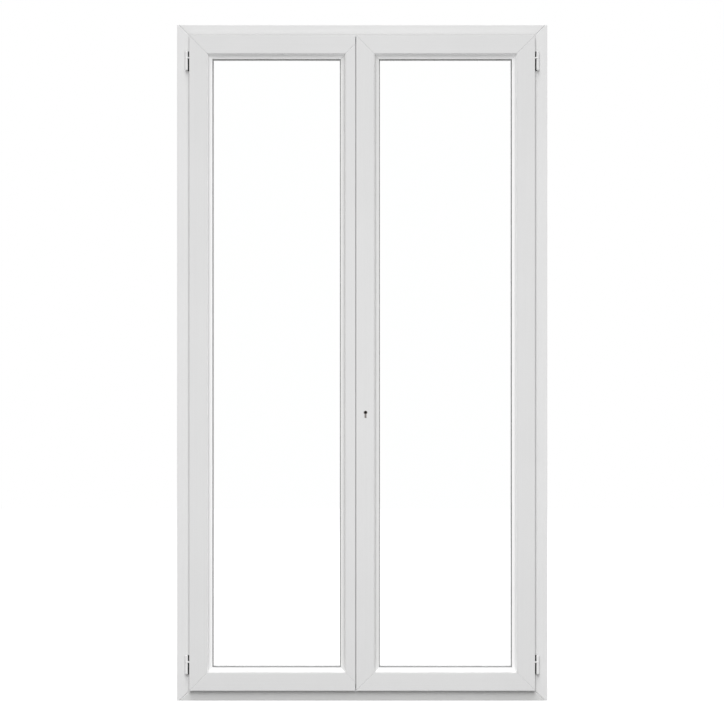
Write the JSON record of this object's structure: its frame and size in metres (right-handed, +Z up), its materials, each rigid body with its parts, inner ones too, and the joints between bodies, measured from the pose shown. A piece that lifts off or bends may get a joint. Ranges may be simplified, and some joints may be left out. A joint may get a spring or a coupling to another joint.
{
  "type": "french doors",
  "caption": "White glazed french doors with their frame: paired leaves on side hinges that meet under a cover strip, with a keyed rod lock and flush bolts.",
  "frame": {"origin": "middle of the sill's underside, at half the frame's depth", "axes": "+Z up, +X to the right seen from the room, +Y to the outside"},
  "size_m": [1.2, 0.095, 2.19],
  "materials": {
    "white_pvc": "satin white profile",
    "white_lacquer": "satin white lacquer",
    "grey_seal": "matte grey seal",
    "clear_glass": "clear polished",
    "spacer_aluminium": "satin",
    "packer_plastic": "moulded",
    "black_plastic": "moulded",
    "zinc_steel": "zinc plated",
    "lock_nickel": "satin nickel"
  },
  "bodies": {
    "frame": {"frame_head": "white_pvc", "frame_sill": "white_pvc", "frame_left_jamb": "white_pvc", "frame_right_jamb": "white_pvc", "frame_steels": "zinc_steel", "frame_seal": "grey_seal", "hinge_posts": "white_lacquer", "hinge_shims": "black_plastic", "hinge_pins": "zinc_steel", "hinge_washers": "white_lacquer", "bolt_keeps": "zinc_steel", "bolt_keep_screws": "zinc_steel", "drain_caps": "white_pvc"},
    "left_leaf": {"left_top_rail": "white_pvc", "left_bottom_rail": "white_pvc", "left_hinge_stile": "white_pvc", "left_meeting_stile": "white_pvc", "left_leaf_steels": "zinc_steel", "left_top_bead": "white_pvc", "left_bottom_bead": "white_pvc", "left_hinge_bead": "white_pvc", "left_meeting_bead": "white_pvc", "left_inner_pane": "clear_glass", "left_outer_pane": "clear_glass", "left_spacer": "spacer_aluminium", "left_bead_seal": "grey_seal", "left_glazing_seal": "grey_seal", "left_flange_seal": "grey_seal", "left_packers": "packer_plastic", "left_hinge_knuckles": "white_lacquer", "meeting_mullion": "white_pvc", "mullion_end_caps": "white_pvc", "mullion_seal": "grey_seal", "lock_keeps": "zinc_steel", "lock_keep_screws": "zinc_steel"},
    "right_leaf": {"right_top_rail": "white_pvc", "right_bottom_rail": "white_pvc", "right_hinge_stile": "white_pvc", "right_meeting_stile": "white_pvc", "right_leaf_steels": "zinc_steel", "right_top_bead": "white_pvc", "right_bottom_bead": "white_pvc", "right_hinge_bead": "white_pvc", "right_meeting_bead": "white_pvc", "right_inner_pane": "clear_glass", "right_outer_pane": "clear_glass", "right_spacer": "spacer_aluminium", "right_bead_seal": "grey_seal", "right_glazing_seal": "grey_seal", "right_flange_seal": "grey_seal", "right_packers": "packer_plastic", "right_hinge_knuckles": "white_lacquer", "lock_case": "zinc_steel", "lock_faceplate": "zinc_steel", "lock_cylinder": "lock_nickel"},
    "upper_flush_bolt": {"upper_flush_bolt": "zinc_steel"},
    "lower_flush_bolt": {"lower_flush_bolt": "zinc_steel"},
    "cylinder_plug": {"cylinder_plug": "lock_nickel"},
    "upper_lock_rod": {"upper_lock_rod": "zinc_steel"},
    "lower_lock_rod": {"lower_lock_rod": "zinc_steel"}
  },
  "joints": [
    {"name": "right_leaf_swing", "type": "hinge", "parent": "frame", "child": "right_leaf", "pos_m": [0.569, -0.045, 0], "axis": [0, 0, 1], "range_deg": [0, 110]},
    {"name": "left_leaf_swing", "type": "hinge", "parent": "frame", "child": "left_leaf", "pos_m": [-0.569, -0.045, 0], "axis": [0, 0, -1], "range_deg": [0, 100]},
    {"name": "upper_rod_slide", "type": "slide", "parent": "right_leaf", "child": "upper_lock_rod", "axis": [0, 0, 1], "range_m": [0, 0.02]},
    {"name": "lower_rod_slide", "type": "slide", "parent": "right_leaf", "child": "lower_lock_rod", "axis": [0, 0, -1], "range_m": [0, 0.02]},
    {"name": "plug_turn", "type": "hinge", "parent": "right_leaf", "child": "cylinder_plug", "pos_m": [0.0109, -0.04, 0.934], "axis": [0, 1, 0], "range_deg": [0, 360]},
    {"name": "upper_bolt_slide", "type": "slide", "parent": "left_leaf", "child": "upper_flush_bolt", "axis": [0, 0, 1], "range_m": [0, 0.02]},
    {"name": "lower_bolt_slide", "type": "slide", "parent": "left_leaf", "child": "lower_flush_bolt", "axis": [0, 0, -1], "range_m": [0, 0.02]}
  ],
  "couplings": [
    {"joint": "left_leaf_swing", "follows": "right_leaf_swing", "ratio": 0.9},
    {"joint": "lower_rod_slide", "follows": "upper_rod_slide", "ratio": 1},
    {"joint": "plug_turn", "follows": "upper_rod_slide", "rad_per_m": 314.16}
  ]
}
